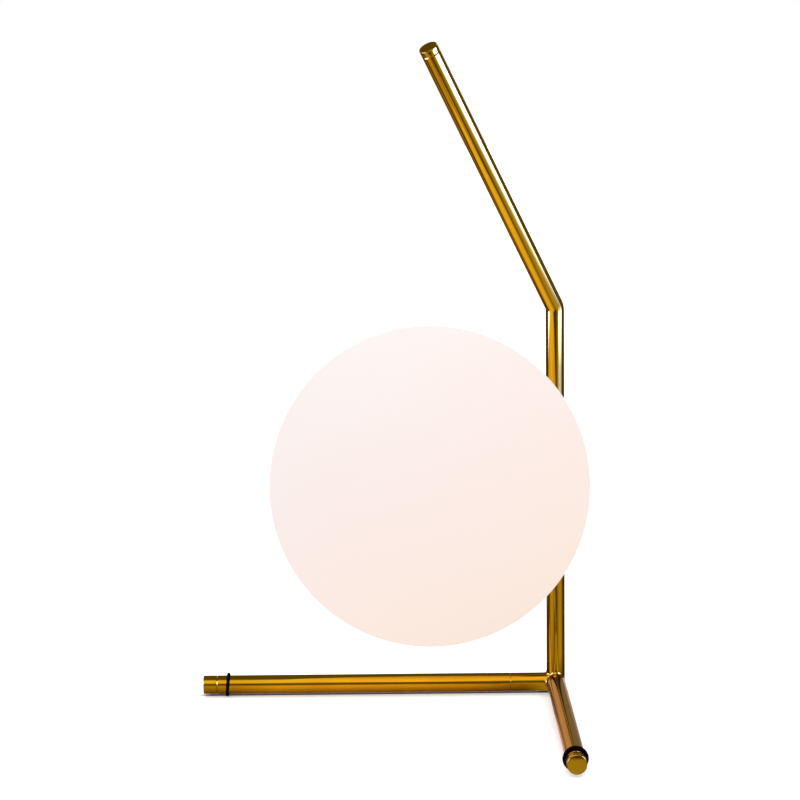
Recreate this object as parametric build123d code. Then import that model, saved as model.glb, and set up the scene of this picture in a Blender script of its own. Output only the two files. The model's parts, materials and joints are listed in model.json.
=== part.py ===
from build123d import *

import os
from math import cos, pi, radians, sin, sqrt

# Globe table lamp: an opal glass globe, twist-locked to a holder on a bent brass tube
# that stands on two tube legs. Millimetres, +Z up. The origin is on the table, under the
# post's axis. One leg runs along -X and the other along -Y; the globe and the leaning arm
# lie in the upright plane midway between the legs.

# Glass globe
globe_diameter = 200.0
globe_wall = 3.0
globe_centre_z = 150.5
globe_gap = 11.0  # between the globe's skin and the post's skin
mouth_diameter = 40.0
lip_round = 1.2

# Tube frame
tube_diameter = 12.0
tube_wall = 1.2
leg_length = 230.5  # post axis to the outer face of the leg's cap
bend_z = 254.0  # where the post's axis meets the arm's axis
arm_lean = 34.5  # degrees from upright
arm_length = 204.6  # bend to the tip, along the arm's axis
bend_radius = 8.0  # of the tube's centreline
seam_chamfer = 0.35
spigot_length = 12.0
spigot_fit = 0.05  # radial, of every spigot in its tube

# Corner joint
stub_length = 30.0  # post axis to the seam of the leg that screws off
corner_blend = 2.0  # how far the brazed blend climbs each arm
corner_land = 0.5  # plain stretch between a blend and its seam
blend_share = 0.97  # of the tube's radius, where a blend fades out at the arms' sides
rear_boss = 1.5  # how far the cord outlet stands out behind the post
lead_bore_diameter = 6.8

# End caps
leg_cap_length = 8.5
top_cap_length = 4.2
cap_round = 0.7

# Feet
ring_section = 1.8
ring_from_end = 15.6  # leg end to the middle of its foot ring
ring_fit = 0.02
barrel_step = 0.25  # how far the corner's barrel reaches below the legs
foot_diameter = 9.5
foot_round = 0.3

# Screwed leg connection
stud_diameter = 8.0
stud_length = 26.0
insert_length = 18.0
thread_fit = 0.05  # radial, of every thread

# Cord outlet bush
bush_bore = 5.6
bush_neck = 8.0
bush_flange = 10.4
bush_flange_thickness = 1.5
bush_round = 0.7
bush_depth = 3.0
bush_fit = 0.05
passage_step = 0.3  # how much wider than the bush's bore the way behind it is, on each side

# Holder stem, cup and fixings
boss_diameter = 15.0
boss_length = 4.5
stem_thread = 10.0
stem_bore = 6.5
cup_diameter = 52.0
cup_sheet = 1.2
cup_round = 6.0
gasket_width = 1.2  # as wide as the rim it is bonded to
gasket_thickness = 1.2
running_gap = 0.3  # between pieces that turn against each other
bracket_sheet = 1.0
bracket_width = 12.0
bracket_margin = 1.0  # sheet left outside each screw hole
washer_thickness = 0.8
washer_diameter = 17.0
nut_across_flats = 14.0
nut_thickness = 4.0
stem_past_nut = 1.5

# Twist lock
bond_gap = 0.3  # glue film between collar and glass
collar_wall = 2.1
collar_flange = 2.1  # how far the flange reaches over the mouth's edge
collar_flange_height = 3.5
collar_tail = 6.0  # sleeve inside the globe, past the glass
lug_diameter = 2.8
lug_count = 3
lug_from_mouth = 1.5
twist_angle = 35.0
twist_gap = 0.4  # radial, between collar and socket
slot_fit = 0.2
socket_wall = 2.4
socket_base = 1.5
socket_rim = 1.9  # wall left in front of the twist slot

# Lampholder for a two-pin capsule bulb
lampholder_length = 27.0
lampholder_width = 15.0
lampholder_height = 20.0
lampholder_seat_gap = 0.5  # above the socket's rim
lampholder_chamfer = 0.6
pin_spacing = 9.0
pin_width = 2.4
pin_thickness = 0.8
pin_length = 12.0
pin_tip_round = 0.9
pin_slot_fit = 0.3
clip_sheet = 0.5
clip_length = 11.0
clip_grip = 0.05  # clearance of a clip's leaf from its pin
pocket_depth = 15.0
pocket_wall_fit = 0.1
screw_spacing = 20.0
screw_diameter = 3.0
screw_head_diameter = 5.6
screw_head_height = 2.2
screw_slot_width = 0.9
screw_sink = 12.0  # how deep the screw heads lie in the lampholder
screw_hole_fit = 0.2

# Bulb
bulb_diameter = 16.0
bulb_length = 50.0
bulb_base_length = 13.0
bulb_base_thickness = 10.0
bulb_wall = 1.0
bulb_seat_gap = 0.3
dome_socket = 3.0  # how far the dome sits over its base

# Wiring
lead_diameter = 2.0
lead_spacing = 2.6
lead_bend = 4.0

# Places worked out from the sizes above
tube_r = tube_diameter / 2
bore_r = tube_r - tube_wall
spigot_r = bore_r - spigot_fit
ring_r = tube_r + ring_fit + ring_section / 2
axis_z = ring_r + ring_section / 2
foot_thickness = axis_z - tube_r - barrel_step
corner = Vector(0, 0, axis_z)
corner_reach = tube_r + corner_blend + corner_land
rear_reach = tube_r + rear_boss
blend_span = blend_share * tube_r

globe_r = globe_diameter / 2
globe_offset = tube_r + globe_gap + globe_r
mouth_r = mouth_diameter / 2
left = Vector(-1, 0, 0)
front = Vector(0, -1, 0)
up = Vector(0, 0, 1)
toward_globe = (left + front).normalized()
across = Vector(1, -1, 0).normalized()
holder = Plane(origin=(0, 0, globe_centre_z), x_dir=across, z_dir=toward_globe)

lean = radians(arm_lean)
arm_direction = toward_globe * sin(lean) + up * cos(lean)
bend_point = Vector(0, 0, bend_z)
arm_tip = bend_point + arm_direction * arm_length

# Heights along the holder's axis, counted from the post's axis
cup_back = tube_r + boss_length
socket_back = cup_back + cup_sheet
bracket_back = socket_back + socket_base
washer_back = bracket_back + bracket_sheet
nut_back = washer_back + washer_thickness
stem_end = nut_back + nut_thickness + stem_past_nut


def glass_height(radius):
    """Where the globe's skin lies along the holder's axis, at a radius from that axis."""
    return globe_offset - sqrt(globe_r**2 - radius**2)


cup_r = cup_diameter / 2
cup_rim = glass_height(cup_r) - running_gap - gasket_thickness
mouth_height = glass_height(mouth_r)
sleeve_r = mouth_r - bond_gap
sleeve_bore_r = sleeve_r - collar_wall
collar_back = mouth_height - collar_flange_height
collar_front = mouth_height + globe_wall + collar_tail
socket_r = sleeve_bore_r - twist_gap
socket_bore_r = socket_r - socket_wall
lug_r = lug_diameter / 2
lug_height = mouth_height + lug_from_mouth
slot_r = lug_r + slot_fit
socket_front = lug_height + slot_r + socket_rim
lampholder_back = socket_front + lampholder_seat_gap
lampholder_front = lampholder_back + lampholder_height
bulb_back = lampholder_front + bulb_seat_gap
thread_hole_r = stem_thread / 2 + thread_fit
screw_x = screw_spacing / 2
pin_x = pin_spacing / 2

FROM_BASE = (Align.CENTER, Align.CENTER, Align.MIN)
PAST = 1.0  # how far a cutter runs past the face it opens


def rod(start, end, radius):
    """A round bar between two points."""
    run = Vector(end) - Vector(start)
    return Plane(Vector(start), z_dir=run) * Cylinder(radius, run.length, align=FROM_BASE)


def turned(*points):
    """A solid turned about Z from its half section, as (radius, height) points."""
    return revolve(Plane.XZ * make_face(Polyline(*points, close=True)), Axis.Z)


def ring(outer_r, inner_r, low, high):
    """A plain turned ring about Z."""
    return turned((inner_r, low), (outer_r, low), (outer_r, high), (inner_r, high))


def ends_of(shape, points):
    """The outer end edges of a tube, found by their centres."""
    rims = shape.edges().filter_by(GeomType.CIRCLE).filter_by(lambda e: abs(e.radius - tube_r) < 1e-3)
    return [e for e in rims if any((e.arc_center - p).length < 1e-3 for p in points)]


def straight_tube(start, end):
    """A cut length of the frame's tube, with both outer edges broken."""
    tube = rod(start, end, tube_r) - rod(start, end, bore_r)
    return chamfer(ends_of(tube, (start, end)), seam_chamfer)


def end_cap(seat, direction, length):
    """A turned plug: a head flush with the tube and a spigot inside it."""
    body = turned(
        (0, -spigot_length),
        (spigot_r, -spigot_length),
        (spigot_r, 0),
        (tube_r - seam_chamfer, 0),
        (tube_r, seam_chamfer),
        (tube_r, length),
        (0, length),
    )
    rim = body.edges().filter_by(GeomType.CIRCLE).sort_by(Axis.Z)[-1]
    return Plane(seat, z_dir=direction) * fillet(rim, cap_round)


def leg_seat(direction):
    """Where a leg's tube ends and its cap begins."""
    return corner + direction * (leg_length - leg_cap_length)


def foot_ring(direction):
    """A rubber ring stretched over a leg near its end."""
    middle = corner + direction * (leg_length - ring_from_end)
    return Plane(middle, z_dir=direction) * Torus(ring_r, ring_section / 2)


def arm_blend(first, second):
    """The brazed blend between two arms at right angles. Seen square to both arms it is a straight
    throat from one arm to the other; its width falls away as an ellipse towards the arms' sides."""
    side = first.cross(second)
    throat = (2 * tube_r + corner_blend) / sqrt(2)
    section = Plane(corner, x_dir=side, z_dir=first - second) * Ellipse(blend_span, throat)
    prism = extrude(section, amount=2 * corner_reach, both=True)
    quarter = Plane(corner, x_dir=first, z_dir=side) * Box(
        corner_reach, corner_reach, 2 * tube_r, align=(Align.MIN, Align.MIN, Align.CENTER)
    )
    return prism & quarter


def corner_joint():
    """The three-way corner: an upright barrel, a stub to the left and a short arm to the front,
    with spigots for the brazed tubes, a way through for the wires and a tapped stub."""
    seat = corner + up * corner_reach
    nose = corner + front * corner_reach
    rear = corner - front * rear_reach
    stub_end = corner + left * stub_length
    solid = rod((0, 0, foot_thickness), seat, tube_r) + rod(rear, nose, tube_r)
    solid += rod(corner, stub_end, tube_r)
    solid = chamfer(ends_of(solid, (stub_end, rear)), seam_chamfer)
    for first, second in ((up, front), (left, up), (front, left)):
        solid += arm_blend(first, second)
    solid += rod(seat, seat + up * spigot_length, spigot_r)
    solid += rod(nose, nose + front * spigot_length, spigot_r)
    lead_bore_r = lead_bore_diameter / 2
    passage_r = bush_bore / 2 + passage_step
    solid -= rod(corner - up * passage_r, seat + up * (spigot_length + PAST), lead_bore_r)
    solid -= rod(corner, rear - front * PAST, passage_r)
    solid -= rod(rear + front * bush_depth, rear - front * PAST, bush_neck / 2 + bush_fit)
    solid -= rod(stub_end + left * PAST, stub_end - left * (stud_length / 2 + PAST), stud_diameter / 2)
    return solid


def upright_post():
    """The upright tube, bent over the globe, with a hole in its side for the wires."""
    start = corner + up * corner_reach
    end = arm_tip - arm_direction * top_cap_length
    path = FilletPolyline(start, bend_point, end, radius=bend_radius)
    tube = sweep(Plane(start, z_dir=up) * (Circle(tube_r) - Circle(bore_r)), path=path)
    tube = chamfer(ends_of(tube, (start, end)), seam_chamfer)
    return tube - holder * Cylinder(stem_bore / 2, tube_diameter, align=FROM_BASE)


def leg_stud():
    """The threaded stud that joins the left leg to the corner's stub."""
    seam = corner + left * stub_length
    half = left * (stud_length / 2)
    return rod(seam - half, seam + half, stud_diameter / 2 - thread_fit)


def leg_insert():
    """The tapped plug inside the left leg's inner end."""
    seam = corner + left * (stub_length + seam_chamfer)
    end = seam + left * insert_length
    return rod(seam, end, spigot_r) - rod(seam, end, stud_diameter / 2)


def corner_foot():
    """The rubber pad under the barrel, its edge eased so that it doesn't peel."""
    pad = Cylinder(foot_diameter / 2, foot_thickness, align=FROM_BASE)
    return fillet(pad.edges().filter_by(GeomType.CIRCLE).sort_by(Axis.Z)[0], foot_round)


def cable_bush():
    """The flanged bush that lines the cord's way out behind the corner."""
    bush = turned(
        (bush_bore / 2, -bush_depth),
        (bush_neck / 2, -bush_depth),
        (bush_neck / 2, 0),
        (bush_flange / 2, 0),
        (bush_flange / 2, bush_flange_thickness),
        (bush_bore / 2, bush_flange_thickness),
    )
    rim = bush.edges().filter_by(GeomType.CIRCLE).sort_by(Axis.Z)[-2:].sort_by(SortBy.RADIUS)[-1]
    bush = fillet(rim, bush_round)
    return Plane(corner - front * rear_reach, z_dir=-front) * bush


def holder_stem():
    """The hollow stem: a boss coped to sit on the post, then a thread for the holder's nut."""
    stem = turned(
        (stem_bore / 2, 0),
        (boss_diameter / 2, 0),
        (boss_diameter / 2, cup_back),
        (stem_thread / 2, cup_back),
        (stem_thread / 2, stem_end),
        (stem_bore / 2, stem_end),
    )
    post = rod((0, 0, -globe_centre_z), (0, 0, globe_centre_z), tube_r + spigot_fit)
    return holder * (stem - Rot(90, 0, 0) * post)


def holder_cup():
    """The spun cup that covers the globe's mouth, with a rolled shoulder."""
    shoulder = cup_r - cup_round
    inner_r = cup_round - cup_sheet
    swing = cup_round * sin(radians(45))
    inner_swing = inner_r * sin(radians(45))
    edge = [
        Line((thread_hole_r, cup_back), (shoulder, cup_back)),
        ThreePointArc(
            (shoulder, cup_back),
            (shoulder + swing, cup_back + cup_round - swing),
            (cup_r, cup_back + cup_round),
        ),
        Polyline(
            (cup_r, cup_back + cup_round),
            (cup_r, cup_rim),
            (cup_r - cup_sheet, cup_rim),
            (cup_r - cup_sheet, cup_back + cup_round),
        ),
        ThreePointArc(
            (cup_r - cup_sheet, cup_back + cup_round),
            (shoulder + inner_swing, cup_back + cup_round - inner_swing),
            (shoulder, cup_back + cup_sheet),
        ),
        Polyline(
            (shoulder, cup_back + cup_sheet),
            (thread_hole_r, cup_back + cup_sheet),
            (thread_hole_r, cup_back),
        ),
    ]
    return holder * revolve(Plane.XZ * make_face(Curve() + edge), Axis.Z)


def cup_gasket():
    """The silicone ring on the cup's rim, shaped to the globe's skin."""
    blank = ring(cup_r, cup_r - gasket_width, cup_rim, cup_rim + 2 * gasket_thickness)
    return holder * (blank - Pos(0, 0, globe_offset) * Sphere(globe_r + running_gap))


def globe_glass():
    """The blown globe: a spherical wall with one round mouth and a rounded lip."""
    inner_r = globe_r - globe_wall
    inner_mouth = globe_offset - sqrt(inner_r**2 - mouth_r**2)
    edge = [
        ThreePointArc((mouth_r, mouth_height), (globe_r, globe_offset), (0, globe_offset + globe_r)),
        Line((0, globe_offset + globe_r), (0, globe_offset + inner_r)),
        ThreePointArc((0, globe_offset + inner_r), (inner_r, globe_offset), (mouth_r, inner_mouth)),
        Line((mouth_r, inner_mouth), (mouth_r, mouth_height)),
    ]
    section = make_face(Curve() + edge)
    lip = section.vertices().filter_by(lambda v: abs(v.X - mouth_r) < 1e-3)
    return holder * revolve(Plane.XZ * fillet(lip, lip_round), Axis.Z)


def globe_collar():
    """The metal collar glued into the mouth, with lugs that point inwards."""
    flange_r = mouth_r + collar_flange
    blank = ring(flange_r, sleeve_bore_r, collar_back, collar_back + 2 * collar_flange_height)
    flange = blank - Pos(0, 0, globe_offset) * Sphere(globe_r + bond_gap)
    collar = ring(sleeve_r, sleeve_bore_r, collar_back, collar_front) + flange
    for turn in PolarLocations(0, lug_count):
        root = (sleeve_r - collar_wall / 2, 0, lug_height)
        collar += turn * rod((socket_bore_r + slot_fit, 0, lug_height), root, lug_r)
    return holder * collar


def twist_slot():
    """One slot of the twist lock: a run around the wall, then a way out of the front."""
    inner, outer = socket_bore_r - PAST, socket_r + PAST
    run = Plane.XZ * make_face(
        Polyline(
            (inner, lug_height - slot_r),
            (outer, lug_height - slot_r),
            (outer, lug_height + slot_r),
            (inner, lug_height + slot_r),
            close=True,
        )
    )
    end = rod((inner, 0, lug_height), (outer, 0, lug_height), slot_r)
    way_out = Pos((inner + outer) / 2, 0, lug_height) * Box(
        outer - inner, 2 * slot_r, 2 * slot_r + socket_rim + PAST, align=FROM_BASE
    )
    slot = revolve(run, Axis.Z, revolution_arc=twist_angle) + end
    return slot + Rot(0, 0, twist_angle) * (end + way_out)


def bayonet_socket():
    """The socket that the collar's lugs lock into, held down by the stem's nut."""
    socket = ring(socket_r, thread_hole_r, socket_back, bracket_back)
    socket += ring(socket_r, socket_bore_r, socket_back, socket_front)
    for turn in PolarLocations(0, lug_count):
        socket -= turn * twist_slot()
    return holder * socket


def holder_bracket():
    """The folded strip that carries the lampholder above the nut."""
    half = screw_x + screw_diameter / 2 + bracket_margin + bracket_sheet
    foot = Pos(0, 0, bracket_back) * Box(2 * half, bracket_width, bracket_sheet, align=FROM_BASE)
    foot -= Pos(0, 0, bracket_back) * Cylinder(thread_hole_r, bracket_sheet, align=FROM_BASE)
    strip = foot
    for side in (-1, 1):
        arm = Pos(side * (half - bracket_sheet / 2), 0, bracket_back) * Box(
            bracket_sheet, bracket_width, lampholder_back - bracket_back, align=FROM_BASE
        )
        tab_length = 2 * (half - screw_x)
        tab = Pos(side * screw_x, 0, lampholder_back - bracket_sheet) * Box(
            tab_length, bracket_width, bracket_sheet, align=FROM_BASE
        )
        hole = Pos(side * screw_x, 0, lampholder_back - bracket_sheet) * Cylinder(
            screw_diameter / 2 + thread_fit, bracket_sheet, align=FROM_BASE
        )
        strip += arm + tab - hole
    return holder * strip


def lock_washer():
    """The washer under the nut."""
    return holder * ring(washer_diameter / 2, thread_hole_r, washer_back, nut_back)


def lock_nut():
    """The hexagon nut that clamps cup, socket and bracket on the stem."""
    hexagon = RegularPolygon(nut_across_flats / 2, 6, major_radius=False) - Circle(thread_hole_r)
    return holder * (Pos(0, 0, nut_back) * extrude(hexagon, amount=nut_thickness))


def pin_pocket(side):
    """The space in the lampholder for one contact clip and the pin it grips."""
    width = pin_width + 2 * pin_slot_fit
    depth = pin_thickness + 2 * (clip_grip + clip_sheet + pocket_wall_fit)
    block = Box(width, depth, pocket_depth + PAST, align=FROM_BASE)
    return Pos(side * pin_x, 0, lampholder_front - pocket_depth) * block


def lampholder():
    """The ceramic lampholder, with a pocket for each pin and a sunk hole for each screw."""
    outline = SlotOverall(lampholder_length, lampholder_width)
    body = Pos(0, 0, lampholder_back) * extrude(outline, amount=lampholder_height)
    rim = body.edges().group_by(Axis.Z)[-1]
    body = chamfer(rim, lampholder_chamfer)
    for side in (-1, 1):
        hole = Pos(side * screw_x, 0, lampholder_back)
        body -= hole * Cylinder(screw_diameter / 2 + screw_hole_fit, lampholder_height, align=FROM_BASE)
        sink = Pos(side * screw_x, 0, lampholder_front - screw_sink)
        body -= sink * Cylinder(screw_head_diameter / 2 + screw_hole_fit, screw_sink + PAST, align=FROM_BASE)
        body -= pin_pocket(side)
    return holder * body


def contact_clips():
    """The sprung clips that grip the bulb's pins: two leaves and a bridge each."""
    floor = lampholder_front - pocket_depth
    clips = []
    for side in (-1, 1):
        reach = pin_thickness / 2 + clip_grip
        clip = Pos(side * pin_x, 0, floor) * Box(
            pin_width, 2 * (reach + clip_sheet), clip_sheet, align=FROM_BASE
        )
        for leaf in (-1, 1):
            clip += Pos(side * pin_x, leaf * (reach + clip_sheet / 2), floor) * Box(
                pin_width, clip_sheet, clip_length, align=FROM_BASE
            )
        clips.append(holder * clip)
    return Compound(children=clips)


def lampholder_screws():
    """The two screws that hold the lampholder to its bracket."""
    head_seat = lampholder_front - screw_sink
    screws = []
    for side in (-1, 1):
        shank = Pos(side * screw_x, 0, lampholder_back - bracket_sheet) * Cylinder(
            screw_diameter / 2, head_seat - lampholder_back + bracket_sheet, align=FROM_BASE
        )
        head = Pos(side * screw_x, 0, head_seat) * Cylinder(
            screw_head_diameter / 2, screw_head_height, align=FROM_BASE
        )
        slot = Pos(side * screw_x, 0, head_seat + screw_head_height / 2) * Box(
            screw_head_diameter, screw_slot_width, screw_head_height, align=FROM_BASE
        )
        screws.append(holder * (shank + head - slot))
    return Compound(children=screws)


def bulb_base():
    """The bulb's moulded base, flattened across the pins, with a plug inside the dome."""
    outline = RectangleRounded(bulb_diameter, bulb_base_thickness, bulb_base_thickness / 3)
    base = Pos(0, 0, bulb_back) * extrude(outline, amount=bulb_base_length)
    plug_r = bulb_base_thickness / 2 - bulb_wall
    plug = Pos(0, 0, bulb_back + bulb_base_length) * Cylinder(plug_r, dome_socket, align=FROM_BASE)
    return holder * (base + plug)


def bulb_dome():
    """The bulb's frosted capsule: a thin wall with a round end, open at its base."""
    dome_r = bulb_diameter / 2
    low = bulb_back + bulb_base_length
    top = bulb_back + bulb_length
    inner_r = dome_r - bulb_wall
    mouth = bulb_base_thickness / 2 - bulb_wall + spigot_fit
    slant = sin(radians(45))
    edge = [
        Polyline((mouth, low), (dome_r, low), (dome_r, top - dome_r)),
        ThreePointArc(
            (dome_r, top - dome_r), (dome_r * slant, top - dome_r + dome_r * slant), (0, top)
        ),
        Line((0, top), (0, top - bulb_wall)),
        ThreePointArc(
            (0, top - bulb_wall),
            (inner_r * slant, top - dome_r + inner_r * slant),
            (inner_r, top - dome_r),
        ),
        Polyline((inner_r, top - dome_r), (inner_r, low + bulb_wall), (mouth, low + bulb_wall), (mouth, low)),
    ]
    return holder * revolve(Plane.XZ * make_face(Curve() + edge), Axis.Z)


def bulb_pins():
    """The bulb's two flat pins, rounded at their tips."""
    pins = []
    for side in (-1, 1):
        blade = Pos(side * pin_x, 0, bulb_back - pin_length) * Box(
            pin_width, pin_thickness, pin_length, align=FROM_BASE
        )
        corners = blade.edges().filter_by(Axis.Y).sort_by(Axis.Z)[:2]
        pins.append(holder * fillet(corners, pin_tip_round))
    return Compound(children=pins)


def lead_wires():
    """The two insulated leads, from the cord bush up inside the post to the lampholder."""
    leads = []
    section = pi * (lead_diameter / 2) ** 2
    for side in (-1, 1):
        shift = side * lead_spacing / 2
        start = corner - front * (rear_reach - bush_depth) + Vector(shift, 0, 0)
        foot = corner + Vector(shift, 0, 0)
        turn = Vector(0, 0, globe_centre_z) + across * shift
        end = turn + toward_globe * lampholder_back
        path = FilletPolyline(start, foot, turn, end, radius=lead_bend)
        lead = sweep(Plane(start, z_dir=front) * Circle(lead_diameter / 2), path=path)
        print(f"lead: volume over section times length {lead.volume / (section * path.length):.4f}")
        leads.append(lead)
    return Compound(children=leads)


def all_parts():
    """Every piece of the lamp, by its node's name."""
    stub_end = corner + left * stub_length
    front_seam = corner + front * corner_reach
    return {
        "corner_joint": corner_joint(),
        "upright_post": upright_post(),
        "top_cap": end_cap(arm_tip - arm_direction * top_cap_length, arm_direction, top_cap_length),
        "left_leg": straight_tube(stub_end, leg_seat(left)),
        "left_leg_cap": end_cap(leg_seat(left), left, leg_cap_length),
        "left_foot_ring": foot_ring(left),
        "leg_stud": leg_stud(),
        "leg_insert": leg_insert(),
        "front_leg": straight_tube(front_seam, leg_seat(front)),
        "front_leg_cap": end_cap(leg_seat(front), front, leg_cap_length),
        "front_foot_ring": foot_ring(front),
        "corner_foot": corner_foot(),
        "cable_bush": cable_bush(),
        "lead_wires": lead_wires(),
        "holder_stem": holder_stem(),
        "holder_cup": holder_cup(),
        "cup_gasket": cup_gasket(),
        "bayonet_socket": bayonet_socket(),
        "holder_bracket": holder_bracket(),
        "lock_washer": lock_washer(),
        "lock_nut": lock_nut(),
        "lampholder": lampholder(),
        "contact_clips": contact_clips(),
        "lampholder_screws": lampholder_screws(),
        "globe_glass": globe_glass(),
        "globe_collar": globe_collar(),
        "bulb_base": bulb_base(),
        "bulb_dome": bulb_dome(),
        "bulb_pins": bulb_pins(),
    }


os.makedirs("parts", exist_ok=True)
for name, shape in all_parts().items():
    export_step(shape, f"parts/{name}.step")
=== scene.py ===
import json
from functools import partial, reduce
from math import cos, radians, sin, sqrt, tau

import bpy
import numpy as np
from bpy.props import FloatProperty, FloatVectorProperty, PointerProperty
from mathutils import Matrix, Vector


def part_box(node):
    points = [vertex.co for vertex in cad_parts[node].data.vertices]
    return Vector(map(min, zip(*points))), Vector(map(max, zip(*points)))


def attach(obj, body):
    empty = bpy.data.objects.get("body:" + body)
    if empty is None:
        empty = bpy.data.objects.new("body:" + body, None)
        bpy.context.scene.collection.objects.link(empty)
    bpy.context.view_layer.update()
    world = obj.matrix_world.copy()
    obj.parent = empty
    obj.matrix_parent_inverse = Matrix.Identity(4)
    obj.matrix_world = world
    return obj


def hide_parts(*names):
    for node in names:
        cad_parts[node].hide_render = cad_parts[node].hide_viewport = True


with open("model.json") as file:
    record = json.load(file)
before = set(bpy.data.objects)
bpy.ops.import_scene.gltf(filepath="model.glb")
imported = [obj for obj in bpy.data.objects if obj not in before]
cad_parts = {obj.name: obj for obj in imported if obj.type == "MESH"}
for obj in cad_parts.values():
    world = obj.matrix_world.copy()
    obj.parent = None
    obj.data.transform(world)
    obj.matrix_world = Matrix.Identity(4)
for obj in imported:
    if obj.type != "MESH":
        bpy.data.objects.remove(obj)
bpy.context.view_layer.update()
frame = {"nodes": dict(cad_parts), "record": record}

bl_info = {
    "name": "Globe table lamp",
    "version": (1, 0, 0),
    "blender": (4, 5, 0),
    "location": "3D View > Sidebar > Lamp",
    "description": "Dresses a globe table lamp: opal glass, satin brass tube and rubber feet",
    "category": "Object",
}

# Places from the CAD model, in metres

LEG_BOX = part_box("left_leg")
GLOBE_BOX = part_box("globe_glass")
RING_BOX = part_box("front_foot_ring")
LEG_END = -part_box("front_leg_cap")[0].y
RING_FROM_END = LEG_END + (RING_BOX[0].y + RING_BOX[1].y) / 2
AXIS_Z = (LEG_BOX[0].z + LEG_BOX[1].z) / 2
GLOBE_Z = (GLOBE_BOX[0].z + GLOBE_BOX[1].z) / 2

# Directions, and the corner where the axes of the post and both legs meet

LEFT = np.array((-1.0, 0.0, 0.0))
FRONT = np.array((0.0, -1.0, 0.0))
UP = np.array((0.0, 0.0, 1.0))
TOWARD_GLOBE = (LEFT + FRONT) / sqrt(2)
BESIDE_GLOBE = np.cross(TOWARD_GLOBE, UP)
CORNER = UP * AXIS_Z

# Fineness of the meshes: points round a turn or along a run

TUBE_SIDES = 72
STRAIGHT_POINTS = 40
BEND_POINTS = 25
CAP_SIDES = 64
RING_SIDES = 96
RING_SECTION_POINTS = 24
GLOBE_SIDES = 160
GLOBE_OUTSIDE_POINTS = 96
GLOBE_INSIDE_POINTS = 48
CUP_SIDES = 128
CUP_EDGE_POINTS = 14
EDGE_POINTS = 6

# Fineness of the meshes: lengths in metres, and the angle from which an edge is sharp

EDGE_LOOP = 0.0004
BEVEL_SOFT = 0.0001
CORNER_STEP = 0.00032
CORNER_MARGIN = 0.0009
CORNER_SINK = 0.00001
SHARP_ANGLE = radians(38)

# Limits: decimals of a metre to which points are the same, and what stands for zero in a division

SAME_POINT_DECIMALS = 8
TINY = 1e-9

# How a wrapped mesh is drawn onto its surface: rounds, and the share of a step that its slope is taken over

DRAW_ROUNDS = 4
SLOPE_SHARE = 0.02

# Height of a unit axis from which it counts as upright

UPRIGHT = 0.9

# Grain of the finishes, in counts a metre along each axis

BRASS_CLOUDS = (26.0, 26.0, 9.0)
DRAWN_LINES = (2600.0, 2600.0, 55.0)
POLISHED_LINES = (900.0, 900.0, 900.0)
HAND_SMUDGES = (60.0, 60.0, 60.0)
GLASS_DRIFT = (9.0, 9.0, 9.0)
GLASS_ETCH = (2400.0, 2400.0, 2400.0)

# Range that most of a noise lies in

NOISE_LOW = 0.3
NOISE_HIGH = 0.7

# Depth of a ray that has left one glossy surface, and of one that has left two

FIRST_HAND = 1.0
SECOND_HAND = 2.0

# Sockets of a Mix node that mixes colours

MIX_SHARE = 0
MIX_FIRST = 6
MIX_SECOND = 7
MIX_RESULT = 2

# Finishes of the fittings by slot: name, roughness, grain a metre, metallic share, darkest share of tone

FITTINGS = {
    "black_plastic": ("bush_plastic", 0.45, 1800.0, 0.0, 0.75),
    "silicone": ("gasket_silicone", 0.5, 1500.0, 0.0, 0.92),
    "aluminium": ("turned_aluminium", 0.3, 800.0, 1.0, 0.9),
    "zinc_steel": ("zinc_steel", 0.3, 700.0, 1.0, 0.9),
    "white_ceramic": ("holder_ceramic", 0.6, 1200.0, 0.0, 0.9),
    "contact_bronze": ("contact_bronze", 0.28, 900.0, 1.0, 0.75),
    "lead_insulation": ("lead_sleeve", 0.4, 1500.0, 0.0, 0.9),
    "bulb_plastic": ("bulb_moulding", 0.45, 1500.0, 0.0, 0.92),
    "bulb_frost": ("bulb_frost", 0.5, 2500.0, 0.0, 0.95),
    "pin_nickel": ("pin_nickel", 0.22, 900.0, 1.0, 0.9),
}


# Settings


def length(label, note, default):
    """A length that a user may change, in metres."""
    return FloatProperty(name=label, description=note, default=default, min=0.0, precision=5, unit="LENGTH")


def angle(label, note, degrees):
    """An angle that a user may change, given in degrees."""
    return FloatProperty(name=label, description=note, default=radians(degrees), subtype="ANGLE")


def colour(label, note, default):
    """A colour that a user may change."""
    return FloatVectorProperty(
        name=label, description=note, default=default, size=3, min=0.0, max=1.0, subtype="COLOR"
    )


def amount(label, note, default, top=10.0):
    """A plain number that a user may change."""
    return FloatProperty(name=label, description=note, default=default, min=0.0, max=top)


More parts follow.
